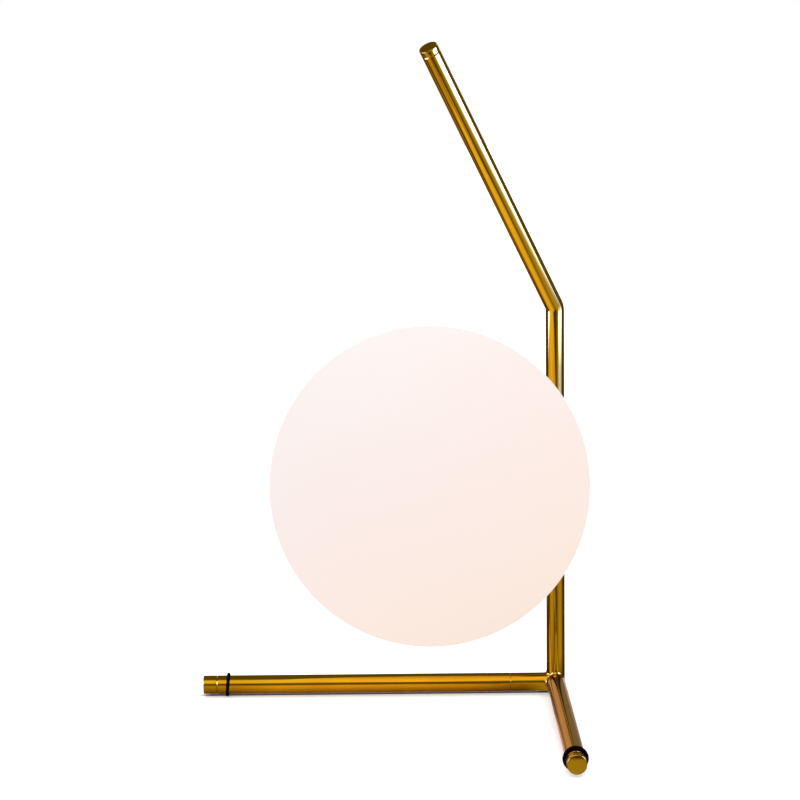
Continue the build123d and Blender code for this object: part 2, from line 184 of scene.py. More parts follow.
class LampSizes(bpy.types.PropertyGroup):
    """Sizes of the lamp's visible pieces."""

    tube: length("Tube", "Outer diameter of the frame's tube", LEG_BOX[1].z - LEG_BOX[0].z)
    tube_wall: length("Tube wall", "Wall of the frame's tube", 0.0012)
    rear_round: length("Rear rounding", "Rounding of the corner's edge at the cord outlet", 0.0004)
    stub_seam: length("Stub seam", "Rounding of the edges at the left leg's seam", 0.00012)
    bevel: length("Seam bevel", "Length of the bevel on a tube where it meets its cap", 0.0009)
    bevel_depth: length("Seam depth", "Depth of that bevel", 0.00042)
    brazed_lap: length("Brazed lap", "How far a brazed tube reaches over the corner's arm", 0.001)
    leg_length: length("Leg", "Post axis to the end of a leg", LEG_END)
    leg_cap: length("Leg cap", "Visible length of a leg's end cap", 0.0085)
    top_cap: length("Top cap", "Visible length of the arm's end cap", 0.0042)
    cap_round: length("Cap edge", "Rounding of a cap's outer edge", 0.0007)
    spigot: length("Spigot", "Length of a cap inside its tube", 0.012)
    spigot_fit: length("Spigot fit", "Gap between a cap's spigot and the tube's bore", 0.00005)
    spigot_round: length("Spigot edge", "Rounding of a spigot's inner edge", 0.0003)
    stub: length("Stub", "Post axis to the left leg's seam", -LEG_BOX[1].x)
    corner_reach: length("Corner reach", "Corner axis to the post's and front leg's seams", 0.0085)
    corner_fillet: length("Corner fillet", "Size of the brazed fillets at the corner", 0.0022)
    rear_reach: length("Rear reach", "Corner axis to the cord outlet's face", 0.0075)
    outlet: length("Outlet", "Radius of the way through the corner for the cord", 0.0041)
    bend_z: length("Bend height", "Table to the bend of the post's axis", 0.254)
    bend_radius: length("Bend radius", "Radius of the post's bend, at the tube's axis", 0.008)
    arm_lean: angle("Arm lean", "Angle of the arm from upright", 34.5)
    arm_length: length("Arm", "Bend to the arm's tip, along its axis", 0.2046)
    globe: length("Globe", "Outer diameter of the globe", 0.2)
    globe_wall: length("Globe wall", "Thickness of the glass", 0.003)
    globe_offset: length("Globe offset", "Post axis to the globe's centre", 0.117)
    globe_z: length("Globe height", "Table to the globe's centre", GLOBE_Z)
    mouth: length("Mouth", "Diameter of the globe's mouth", 0.04)
    lip: length("Lip", "Rounding of the mouth's lip", 0.0012)
    ring: length("Foot ring", "Thickness of a foot ring, out from its leg", 0.0018)
    ring_width: length("Ring width", "Width of a foot ring along its leg", 0.00216)
    ring_from_end: length("Ring place", "End of a leg to its foot ring", RING_FROM_END)
    ring_slip: length("Ring slip", "How far the left leg's ring has slid from its place", 0.0004)
    ring_skew: angle("Ring skew", "How far the left leg's ring has slipped out of square", 4.5)
    cup: length("Cup", "Diameter of the cup over the globe's mouth", 0.052)
    cup_back: length("Cup place", "Post axis to the back of the cup", 0.0105)
    cup_rim: length("Cup rim", "Post axis to the rim of the cup", 0.01894)
    cup_sheet: length("Cup sheet", "Thickness of the cup's sheet", 0.0012)
    cup_round: length("Cup shoulder", "Rounding of the cup's shoulder", 0.006)
    rim_round: length("Cup edge", "Rounding of the edges of the cup's rim", 0.0003)
    cup_hole: length("Cup hole", "Radius of the hole for the stem", 0.00505)


class LampFinish(bpy.types.PropertyGroup):
    """Colours and sheen of the lamp's finishes."""

    gold: colour("Gold", "Main tone of the brass", (0.95, 0.5, 0.012))
    gold_deep: colour("Deep gold", "Tone of the brass where it has darkened", (0.86, 0.425, 0.008))
    gold_edge: colour("Gold edge", "Tint of the brass seen at a flat angle", (0.92, 0.62, 0.5))
    # Painted reflection: the tone that brass shows only where brass mirrors it
    gold_painted_reflection: colour("Pale gold", "Tone of brass that is mirrored in brass", (0.7, 0.72, 0.4))
    brass_rough: amount("Brass roughness", "Roughness of the brass between its lines", 0.06, 1.0)
    line_rough: amount("Line roughness", "Roughness of the brass in its polishing lines", 0.1, 1.0)
    smudge_rough: amount("Smudge roughness", "Roughness that smudges from hands add", 0.03, 1.0)
    # Cool and warm opal are painted shading: the glass is painted cooler at the upper left, warmer at the
    # lower right
    opal_painted_cool: colour("Cool opal", "Tone of the glass at the upper left", (0.947, 0.879, 0.863))
    opal: colour("Opal", "Main tone of the glass", (0.965, 0.839, 0.799))
    opal_painted_warm: colour("Warm opal", "Tone of the glass at the lower right", (0.985, 0.825, 0.725))
    opal_shade: amount("Opal shade", "Share of its tone that the glass shows in outside light", 0.2, 1.0)
    glow: amount("Glow", "Light that the lit bulb lends the glass", 0.79, 5.0)
    rubber: colour("Rubber", "Feet and rings", (0.005, 0.004, 0.004))


class LampStage(bpy.types.PropertyGroup):
    """Camera and studio."""

    distance: length("Distance", "Camera to the point it looks at", 2.0)
    lens: amount("Lens", "Focal length in millimetres", 143.2, 300.0)
    sensor: amount("Sensor", "Width of the camera's sensor in millimetres", 36.0, 100.0)
    pitch: angle("Pitch", "How far the camera looks down", 7.11)
    yaw: angle("Yaw", "How far the camera looks to the right", 0.28)
    roll: angle("Roll", "Tilt of the camera", -0.49)
    look_at: FloatVectorProperty(
        name="Look at", description="Point in the middle of the picture", default=(-0.1007, -0.06, 0.20192),
        size=3, subtype="XYZ", unit="LENGTH",
    )
    horizon: amount("Horizon", "Light on matt surfaces from level directions and below", 0.45)
    sky: amount("Sky", "Light on matt surfaces from right above", 1.75)
    room: amount("Room", "Light of the dim room that glossy surfaces see", 0.1)
    backdrop: amount("Backdrop", "Light behind the lamp that the camera sees", 1.0)
    floor_tone: amount("Floor tone", "How white the floor is", 0.88, 1.0)
    floor_glow: amount("Floor glow", "The floor's own light, which keeps its shadows faint", 0.42)
    floor_tint: colour("Floor tint", "Tint of the lit floor in glossy surfaces", (1.0, 0.82, 0.75))
    key_tint: colour(
        "Key tint", "Tint of the bright reflectors, cold enough to show white in brass", (0.027, 0.043, 1.0)
    )
    cool_tint: colour("Cool tint", "Tint of the reflector behind on the right", (0.75, 1.0, 1.0))
    right_card: amount("Right card", "Brightness of the reflector on the right", 117.0, 200.0)
    left_card: amount("Left card", "Brightness of the reflector on the left", 90.0, 200.0)
    top_card: amount("Top card", "Brightness of the reflector above the front", 0.85, 50.0)
    rear_card: amount("Rear card", "Brightness of the reflectors for views from behind", 2.0, 50.0)
    back_card: amount("Back card", "Brightness of the reflectors behind", 0.5, 50.0)


# Shapes


def unit(vector):
    """A vector of length one: the vector over its length."""
    return vector / np.linalg.norm(vector)


def circle(count):
    """Angles of a full turn, without the last."""
    return np.arange(count) * (tau / count)


def square_to(axis):
    """Two unit vectors square to an axis and to each other, from cross products."""
    first = unit(np.cross(axis, UP if abs(axis[2]) < UPRIGHT else LEFT))
    return first, np.cross(axis, first)


def rounded(points, radii, steps=EDGE_POINTS, ends=True):
    """A line of straight runs with its corners rounded. Each corner becomes a quadratic curve that leaves
    one run at the corner's radius before it and joins the next run at the same distance after it. Without
    its ends, the line has only the curves of its inner corners."""
    points = np.asarray(points, float)
    radii = np.asarray(radii, float)[:, None]
    before = np.roll(points, 1, 0) - points
    after = np.roll(points, -1, 0) - points
    before[0] = 0
    after[-1] = 0
    before /= np.maximum(np.linalg.norm(before, axis=1, keepdims=True), TINY)
    after /= np.maximum(np.linalg.norm(after, axis=1, keepdims=True), TINY)
    t = np.linspace(0, 1, steps)[None, :, None]
    start, end = points + before * radii, points + after * radii
    curve = (1 - t) ** 2 * start[:, None] + 2 * t * (1 - t) * points[:, None] + t**2 * end[:, None]
    if not ends:
        curve = curve[1:-1]
    return curve.reshape(-1, points.shape[1])


def own_place(radius, along, turn):
    """A surface's own coordinates: the radius by the cosine and the sine of the turn, and the way along."""
    return np.concatenate([radius * np.cos(turn), radius * np.sin(turn), along + 0 * turn], -1)


def turned(profile, origin, axis, around):
    """A surface turned about an axis: a point at (radius, height) of the profile goes to the origin, plus
    its height along the axis, plus its radius along the direction at each angle of the turn."""
    first, second = square_to(axis)
    radius, height = profile[:, 0][:, None, None], profile[:, 1][:, None, None]
    turn = circle(around)[None, :, None]
    ray = np.cos(turn) * first + np.sin(turn) * second
    return origin + height * axis + radius * ray, own_place(radius, height, turn)


def bend_measures(start, bend, end, radius):
    """Both directions of a line with one rounded bend, the angle it turns by, and its straight runs
    before and after the arc, which are shorter than its sides by the radius times the tangent of half
    that angle."""
    sides = np.stack([bend - start, end - bend])
    lengths = np.linalg.norm(sides, axis=1)
    first, last = sides / lengths[:, None]
    turn = np.arccos(np.clip(first @ last, -1, 1))
    before, after = lengths - radius * np.tan(turn / 2)
    return first, last, turn, before, after


def bent_line(run, start, radius, first, last, turn, before):
    """Centre and inward normal of a line with one rounded bend, at distances run along it: straight to
    the arc, round the arc by the distance over its radius, then straight again."""
    inward = (last - np.cos(turn) * first) / np.sin(turn)
    run = run[:, None]
    swing = np.clip((run - before) / radius, 0, turn)
    centre = start + first * np.minimum(run, before)
    centre = centre + radius * (np.sin(swing) * first + (1 - np.cos(swing)) * inward)
    centre = centre + last * np.maximum(run - before - radius * turn, 0)
    return centre, np.cos(swing) * inward - np.sin(swing) * first


def tube_loop(sizes, total, start_round, stations):
    """The closed half section of a tube as (distance along, radius): out over the rounded edge of one
    end, along the outer wall, in over the bevel of the other end, and back along the bore."""
    outer = sizes.tube / 2
    inner = outer - sizes.tube_wall
    middle = (total / 2, outer)
    start = rounded([(0, inner), (0, outer), middle], (0, start_round, 0), ends=False)
    bevel_start, bevel_end = total - sizes.bevel, (total, outer - sizes.bevel_depth)
    end_line = [middle, (bevel_start, outer), bevel_end, (total, inner)]
    end = rounded(end_line, (0, BEVEL_SOFT, BEVEL_SOFT, 0), ends=False)
    walls = np.concatenate([[start_round + EDGE_LOOP], stations[1:-1], [bevel_start - EDGE_LOOP]])
    out = np.stack([walls, np.full_like(walls, outer)], -1)
    back = np.stack([stations[::-1], np.full_like(stations, inner)], -1)
    return np.concatenate([start, out, end, back])


def put(name, data):
    """A new object in the scene."""
    made = bpy.data.objects.new(name, data)
    bpy.context.scene.collection.objects.link(made)
    return made


def skin(name, grid, lay, closed_rows=False):
    """A mesh object from a grid of points whose columns go right round. Points that coincide, as at a
    pole, become one, and the quads there become triangles. Faces are turned to point outwards: where the
    sum of the volumes that they span with the origin is negative, they are reversed."""
    rows, columns = grid.shape[:2]
    flat = np.round(grid.reshape(-1, 3), SAME_POINT_DECIMALS)
    _, first, same = np.unique(flat, axis=0, return_index=True, return_inverse=True)
    index = same.reshape(rows, columns)
    index = np.hstack([index, index[:, :1]])
    if closed_rows:
        index = np.vstack([index, index[:1]])
    quads = np.stack([index[:-1, :-1], index[1:, :-1], index[1:, 1:], index[:-1, 1:]], -1).reshape(-1, 4)
    points = grid.reshape(-1, 3)[first]
    a, b, c, d = (points[quads[:, k]] for k in range(4))
    volume = np.einsum("ij,ij->", a, np.cross(b, c)) + np.einsum("ij,ij->", a, np.cross(c, d))
    if volume < 0:
        quads = quads[:, ::-1]
    keep = quads != np.roll(quads, -1, 1)
    corners = keep.sum(1)
    thirds = quads[corners == 3][keep[corners == 3]].reshape(-1, 3)
    mesh = bpy.data.meshes.new(name)
    mesh.from_pydata(points.tolist(), [], quads[corners == 4].tolist() + thirds.tolist())
    places = mesh.attributes.new("lay", "FLOAT_VECTOR", "POINT").data
    places.foreach_set("vector", lay.reshape(-1, 3)[first].ravel())
    mesh.shade_smooth()
    mesh.set_sharp_from_angle(angle=SHARP_ANGLE)
    mesh.update()
    return put(name, mesh)


def easing(first, second, ease):
    """What rounds the join of two fields. Where they differ by less than the ease, it is the square of
    what is left of the ease, over four times the ease."""
    left = np.clip(ease - np.abs(first - second), 0, None)
    return left**2 / (4 * ease)


def blunt(first, second, ease):
    """The greater of two fields, with the edge between them rounded: it loses a quarter of the ease."""
    return np.maximum(first, second) + easing(first, second, ease)


def slope(field, points, step):
    """Unit gradient of a field at points, from differences over a step to both sides, and the points'
    heights above the field's surface, which are its values over its steepness."""
    shifts = step * np.eye(3)
    gradient = np.stack([field(points + shift) - field(points - shift) for shift in shifts], -1) / (2 * step)
    steep = np.maximum(np.linalg.norm(gradient, axis=1, keepdims=True), TINY)
    return gradient / steep, field(points) / steep[:, 0]


def shrink_wrap(name, field, low, high, step):
    """A closed mesh round the places where a field is negative. The field is sampled on a regular grid.
    Each cell that the surface crosses gets a point at the mean of the crossings on its edges, and each
    crossed grid edge a quad between the four cells around it. The points are then drawn onto the surface
    along the field's slope, which also gives their normals."""
    axes = [np.arange(first, last + step, step) for first, last in zip(low, high)]
    grid = np.stack(np.meshgrid(*axes, indexing="ij"), -1)
    value = field(grid)
    cells = tuple(size - 1 for size in value.shape)
    total, count = np.zeros((*cells, 3)), np.zeros(cells)
    crossed = []
    for axis in range(3):
        start, end = (np.take(value, range(k, cells[axis] + k), axis) for k in (0, 1))
        cross = (start < 0) != (end < 0)
        share = np.where(cross, start / np.where(cross, start - end, 1), 0)
        spot = np.take(grid, range(cells[axis]), axis) + share[..., None] * step * np.eye(3)[axis]
        others = [k for k in range(3) if k != axis]
        for first in (0, 1):
            for second in (0, 1):
                window = [slice(None)] * 3
                window[others[0]] = slice(first, first + cells[others[0]])
                window[others[1]] = slice(second, second + cells[others[1]])
                total += np.where(cross[tuple(window)][..., None], spot[tuple(window)], 0)
                count += cross[tuple(window)]
        crossed.append((axis, np.argwhere(cross), start[cross] < 0))
    active = count > 0
    index = np.full(cells, -1)
    index[active] = np.arange(active.sum())
    quads = []
    for axis, edges, leaving in crossed:
        one, two = np.eye(3, dtype=int)[(axis + 1) % 3], np.eye(3, dtype=int)[(axis + 2) % 3]
        ring = np.stack([index[tuple((edges - shift).T)] for shift in (0 * one, one, one + two, two)], -1)
        quads.append(np.where(leaving[:, None], ring, ring[:, ::-1]))
    points = total[active] / count[active][:, None]
    for _ in range(DRAW_ROUNDS):
        normals, height = slope(field, points, SLOPE_SHARE * step)
        move = np.clip(height, -step / 2, step / 2)
        points = points - move[:, None] * normals
    mesh = bpy.data.meshes.new(name)
    mesh.from_pydata(points.tolist(), [], np.concatenate(quads).tolist())
    mesh.shade_smooth()
    mesh.normals_split_custom_set_from_vertices(normals.tolist())
    return put(name, mesh)


def rectangle(name, centre, side, rise):
    """A flat rectangle of the stage, from its centre, half its width and half its height, as vectors."""
    corners = [centre + x * side + y * rise for x, y in ((-1, -1), (1, -1), (1, 1), (-1, 1))]
    mesh = bpy.data.meshes.new(name)
    mesh.from_pydata([tuple(corner) for corner in corners], [], [(0, 1, 2, 3)])
    piece = put(name, mesh)
    return piece


def dress(piece, finish, body, slot, *nodes):
    """Gives a piece its finish, lets it ride on a body and stand for its CAD nodes."""
    piece.data.materials.append(finish)
    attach(piece, body)
    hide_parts(*nodes)


# Finishes


class Nodes:
    """Short ways to add and join the nodes of a tree."""

    def __init__(self, tree):
        self.tree = tree

    def feed(self, socket, value):
        """Gives an input its value: a plain one, or another node's output."""
        if isinstance(value, bpy.types.NodeSocket):
            self.tree.links.new(value, socket)
        else:
            socket.default_value = value

    def node(self, kind, **settings):
        """A new node. A setting names a property of it or, with underscores for spaces, an input."""
        made = self.tree.nodes.new(kind)
        for key, value in settings.items():
            if hasattr(made, key):
                setattr(made, key, value)
            else:
                self.feed(made.inputs[key.replace("_", " ")], value)
        return made

    def math(self, operation, *numbers):
        """A number worked out from one or two others."""
        made = self.node("ShaderNodeMath", operation=operation)
        for socket, number in zip(made.inputs, numbers):
            self.feed(socket, number)
        return made.outputs["Value"]

    def vector_math(self, operation, *vectors, output="Value"):
        """A number or, as the output Vector, a vector worked out from one or two vectors."""
        made = self.node("ShaderNodeVectorMath", operation=operation)
        for socket, vector in zip(made.inputs, vectors):
            self.feed(socket, vector)
        return made.outputs[output]

    def times(self, first, second):
        """The product of two numbers."""
        return self.math("MULTIPLY", first, second)

    def total(self, *numbers):
        """The sum of several numbers."""
        return reduce(partial(self.math, "ADD"), numbers)

    def spread(self, source, low, high, start=NOISE_LOW, end=NOISE_HIGH):
        """Maps a number from the range between start and end, by default a noise's, onto low to high."""
        made = self.node(
            "ShaderNodeMapRange", Value=source, From_Min=start, From_Max=end, To_Min=low, To_Max=high
        )
        return made.outputs["Result"]

    def band(self, source, low, high, soft):
        """One between two numbers, falling to none over a soft width outside them."""
        rise = self.spread(source, 0.0, 1.0, low - soft, low)
        return self.times(rise, self.spread(source, 1.0, 0.0, high, high + soft))

    def ramp(self, source, *stops):
        """Maps a number onto colours, each given as (place, colour)."""
        made = self.node("ShaderNodeValToRGB", Fac=source)
        points = made.color_ramp.elements
        for point, (place, tone) in zip(points, (stops[0], stops[-1])):
            point.position = place
            point.color = (*tone, 1)
        for place, tone in stops[1:-1]:
            points.new(place).color = (*tone, 1)
        return made.outputs["Color"]

    def ray(self, fact):
        """A fact about the ray that meets the surface, such as its kind or its depth."""
        return self.node("ShaderNodeLightPath").outputs[fact]

    def for_rays(self, kind, others, these):
        """A number that has one value for rays of a kind and another for all others."""
        return self.spread(self.ray(kind), others, these, 0.0, 1.0)

    def place(self, lay=False):
        """The place of a point: its Object coordinates, or the piece's own coordinates along its tube."""
        if lay:
            return self.node("ShaderNodeAttribute", attribute_name="lay").outputs["Vector"]
        return self.node("ShaderNodeTexCoord").outputs["Object"]

    def place_from(self, centre, size=1.0):
        """The place of a point as seen from a centre, counted in lengths of a size."""
        shift = -np.asarray(centre, float) / size
        made = self.node("ShaderNodeMapping", Vector=self.place(), Location=shift, Scale=(1 / size,) * 3)
        return made.outputs["Vector"]

    def along(self, way, place=None):
        """How far a place, by default the point's own, lies along a way: the dot product of the two."""
        if place is None:
            place = self.place()
        return self.vector_math("DOT_PRODUCT", place, way)

    def pool(self, centre, near, far, bright, dim=0.0):
        """A round pool of light that dims from a near to a far distance from its centre."""
        distance = self.vector_math("LENGTH", self.place_from(centre))
        return self.spread(distance, bright, dim, near, far)

    def noise(self, grain, detail, lay=False, **settings):
        """Noise whose grain has the given counts a metre along each axis."""
        scaled = self.node("ShaderNodeMapping", Vector=self.place(lay), Scale=grain).outputs["Vector"]
        made = self.node("ShaderNodeTexNoise", Vector=scaled, Scale=1.0, Detail=detail, **settings)
        return made.outputs["Fac"]


class Finish(Nodes):
    """A material with one Principled shader."""

    def __init__(self, name, **sockets):
        self.material = bpy.data.materials.new(name)
        self.material.use_nodes = True
        super().__init__(self.material.node_tree)
        self.shader = self.tree.nodes["Principled BSDF"]
        self.give(**sockets)

    def give(self, **sockets):
        """Gives inputs of the shader their values, named with underscores for spaces."""
        for name, value in sockets.items():
            self.feed(self.shader.inputs[name.replace("_", " ")], value)

    def bump(self, source, strength, distance):
        """Lets a number raise the surface by up to a distance."""
        made = self.node("ShaderNodeBump", Height=source, Strength=strength, Distance=distance)
        self.give(Normal=made.outputs["Normal"])


def brass(name, tones, lay):
    """Satin brass with a slow change of tone, fine polishing lines and faint smudges from hands. With a
    lay, the lines are drawn along the tube. Brass that is mirrored in brass is painted a paler tone, a
    painted reflection."""
    finish = Finish(name, Metallic=1.0, Specular_Tint=(*tones.gold_edge, 1))
    clouds = finish.noise(BRASS_CLOUDS, detail=4.0)
    tone = finish.node("ShaderNodeMix", data_type="RGBA")
    # Painted reflection: glossy rays see the brass in a paler gold
    finish.feed(tone.inputs[MIX_SHARE], finish.ray("Is Glossy Ray"))
    finish.feed(tone.inputs[MIX_FIRST], finish.ramp(clouds, (0.3, tones.gold_deep), (0.62, tones.gold)))
    finish.feed(tone.inputs[MIX_SECOND], (*tones.gold_painted_reflection, 1))
    lines = finish.noise(DRAWN_LINES if lay else POLISHED_LINES, detail=2.0, lay=lay)
    smudges = finish.noise(HAND_SMUDGES, detail=5.0, Distortion=0.6)
    smudged = finish.spread(smudges, 0.0, tones.smudge_rough, start=0.45, end=0.75)
    rough = finish.total(finish.spread(lines, tones.brass_rough, tones.line_rough), smudged)
    finish.give(Base_Color=tone.outputs[MIX_RESULT], Roughness=rough)
    finish.bump(lines, strength=0.02, distance=0.00002)
    return finish.material


def painted_glow_in_brass(finish, spot):
    """Painted shading of the globe's glow, which only mirrors show: the share of its light that brass
    mirrors, at places counted in radii from its centre. The upper half is brightest in the plane of the
    post and dims to both sides, less steeply near the top. The lower half is bright all round, apart
    from its back."""
    aside, height, back = (finish.along(way, spot) for way in (BESIDE_GLOBE, UP, -FRONT))
    brightest, dimmest = 0.88, 0.1
    steepness = finish.spread(height, 1.4, 0.63, start=0.6, end=0.85)
    fall = finish.times(finish.math("ABSOLUTE", aside), steepness)
    upper = finish.math("MAXIMUM", finish.math("SUBTRACT", brightest, fall), dimmest)
    upper = finish.times(upper, finish.spread(height, 0.0, 1.0, start=-0.3, end=0.0))
    lower = finish.spread(height, 1.0, 0.0, start=-0.2, end=0.3)
    lower = finish.times(lower, finish.spread(back, 1.0, 0.45, start=0.35, end=0.8))
    return finish.math("MAXIMUM", upper, lower)


def opal(tones, centre, radius):
    """Satin opal glass, softly lit from inside and etched to a soft sheen. Painted shading turns its tone
    from cool at the upper left to warm at the lower right, and the tone drifts a little at random."""
    finish = Finish("opal_glass", Specular_IOR_Level=0.0)
    spot = finish.place_from(centre, radius)
    # Painted shading: the glow's tone is painted warmer towards the lower right
    painted_warm_way = (0.45, -0.1, -0.75)
    drift = finish.spread(finish.noise(GLASS_DRIFT, detail=2.0), -0.15, 0.15)
    painted_warmth = finish.total(finish.along(painted_warm_way, spot), drift)
    painted_warmth = finish.spread(painted_warmth, 0.0, 1.0, start=-0.9, end=0.9)
    lit = (tones.opal_painted_cool, tones.opal, tones.opal_painted_warm)
    shaded = [tuple(tones.opal_shade * part for part in tone) for tone in lit]
    stops = (0.0, 0.5, 1.0)
    # Painted shading of the glow, seen only by glossy rays
    mirrored = finish.times(painted_glow_in_brass(finish, spot), tones.glow)
    etch = finish.noise(GLASS_ETCH, detail=2.0)
    finish.give(
        Base_Color=finish.ramp(painted_warmth, *zip(stops, shaded)),
        Emission_Color=finish.ramp(painted_warmth, *zip(stops, lit)),
        Emission_Strength=finish.for_rays("Is Glossy Ray", tones.glow, mirrored),
        Roughness=finish.spread(etch, 0.55, 0.68),
    )
    finish.bump(etch, strength=0.03, distance=0.00003)
    return finish.material


def speckled(name, tone, rough, grain, metallic=0.0, darkest=0.75):
    """A moulded, cast or plated surface: one tone with a fine mottle, which is darkest at a share of the
    tone, and roughness and bump to match."""
    finish = Finish(name, Metallic=metallic, Specular_IOR_Level=0.5 if metallic else 0.0)
    mottle = finish.noise((grain,) * 3, detail=4.0)
    darker = tuple(darkest * part for part in tone)
    roughest = rough + 0.12
    finish.give(
        Base_Color=finish.ramp(mottle, (0.3, darker), (0.65, tone)),
        Roughness=finish.spread(mottle, rough, roughest),
    )
    finish.bump(mottle, strength=0.15, distance=0.00005)
    return finish.material


class FloorFinish(Finish):
    """A white floor, with a little light of its own so that shadows on it stay faint, and a painted contact
    shadow close under the legs. Glossy surfaces see it dark, apart from painted light: strips beside the
    legs, round pools, and ways that lead off from the corner. Places are in metres from the point under
    the corner."""

    def __init__(self, name, stage):
        super().__init__(name, Roughness=1.0, Specular_IOR_Level=0.0, Emission_Color=(1, 1, 1, 1))
        self.across = self.along(-LEFT)
        self.deep = self.along(-FRONT)
        self.direction = self.vector_math("NORMALIZE", self.place(), output="Vector")
        # Painted shade: the floor's ways of light go dark close to the corner
        self.painted_corner_shade = self.pool((0, 0, 0), near=0.03, far=0.13, bright=0.0, dim=1.0)
        # Painted contact shadow, darkening the floor's colour and its own light under the legs
        painted_contact_shadow = self.painted_contact_shadow()
        own = self.times(self.for_rays("Is Camera Ray", 0.0, stage.floor_glow), painted_contact_shadow)
        # Painted light on the floor that only glossy surfaces see
        plain = self.times(self.ray("Is Glossy Ray"), self.plain_light())
        self.give(Emission_Strength=self.total(own, plain))
        matt, warm = self.times(painted_contact_shadow, stage.floor_tone), self.warm_light()
        shade = self.node("ShaderNodeCombineColor")
        for socket, share in zip(shade.inputs, stage.floor_tint):
            self.feed(socket, self.for_rays("Is Glossy Ray", matt, self.times(warm, share)))
        self.give(Base_Color=shade.outputs["Color"])

    def painted_contact_shadow(self):
        """Painted contact shadow: one where the floor lies open, and little where something stands close
        over it. That counts only behind the left leg's axis, where the light from the front doesn't reach."""
        lit_from = self.node("ShaderNodeCombineXYZ", X=0.1, Y=-0.8, Z=0.6).outputs["Vector"]
        near = self.node("ShaderNodeAmbientOcclusion", samples=8, Distance=0.008, Normal=lit_from)
        open_front = self.spread(self.deep, 1.0, 0.0, start=0.0005, end=0.004)
        most = self.math("MAXIMUM", near.outputs["AO"], open_front)
        return self.spread(most, 0.03, 1.0, start=0.55, end=0.92)

    def strip(self, across, deep, bright, second_hand=1.0):
        """Light on a strip, given as its range and soft edge across and in depth. At second hand, in a
        mirror of a mirror, a share of it shows."""
        light = self.times(self.band(self.across, *across), self.band(self.deep, *deep))
        seen = self.spread(self.ray("Ray Depth"), bright, second_hand * bright, FIRST_HAND, SECOND_HAND)
        return self.times(light, seen)

    def way(self, aim, rest, bright, start):
        """Painted light that leads off from the corner: bright in the direction of an aim, and dimming away
        from it until the dot product of the two is down to the start. Painted shade darkens it close to the
        corner."""
        light = self.spread(self.along(aim, self.direction), rest, bright, start, 1.0)
        return self.times(light, self.painted_corner_shade)

    def left_of_front_leg(self, bright):
        """The strip of floor that the front leg's left side mirrors."""
        return self.strip((-0.022, 0.0, 0.013), (-0.2, -0.075, 0.025), bright, second_hand=0.25)

    def warm_light(self):
        """Painted light: how bright glossy surfaces see the floor in its warm tint."""
        return self.total(
            self.left_of_front_leg(bright=0.45),
            self.strip(across=(-0.18, -0.06, 0.09), deep=(-0.035, 0.0, 0.025), bright=0.47),
            self.pool((-0.07, -0.335, 0), near=0.035, far=0.065, bright=0.32),
            self.pool((-0.5, 0.18, 0), near=0.04, far=0.12, bright=0.17),
            self.pool((-0.38, 0.22, 0), near=0.08, far=0.15, bright=0.13),
            self.way((-0.77, -0.64, 0), rest=0.02, bright=0.36, start=0.8),
            self.way((0, 1, 0), rest=0.0, bright=0.45, start=0.77),
        )

    def plain_light(self):
        """Painted light of the floor's own that glossy surfaces see, without a tint."""
        return self.total(
            self.left_of_front_leg(bright=0.08),
            self.strip(across=(0.0, 0.03, 0.02), deep=(-0.2, 0.12, 0.03), bright=0.4, second_hand=0.25),
            self.pool((0, -0.263, 0), near=0.03, far=0.045, bright=0.3),
            self.pool((0.12, -0.43, 0), near=0.04, far=0.1, bright=0.09),
            self.way((0.8, -0.6, 0), rest=0.03, bright=0.4, start=0.75),
        )


# Operators


class LampOperator:
    """What the lamp's operators share."""

    bl_options = {"REGISTER", "UNDO"}

    @staticmethod
    def settings(context):
        """The lamp's sizes and finishes."""
        return context.scene.lamp_sizes, context.scene.lamp_finish

    @staticmethod
    def arm(sizes):
        """Bend point, arm direction and tip of the post's axis. The direction is the way to the globe by
        the sine of the lean, plus upwards by its cosine."""
        direction = TOWARD_GLOBE * sin(sizes.arm_lean) + UP * cos(sizes.arm_lean)
        bend = UP * sizes.bend_z
        return bend, direction, bend + direction * sizes.arm_length

    @staticmethod
    def cap_seam(sizes):
        """Distance from the post's axis to the seam between a leg and its cap."""
        return sizes.leg_length - sizes.leg_cap


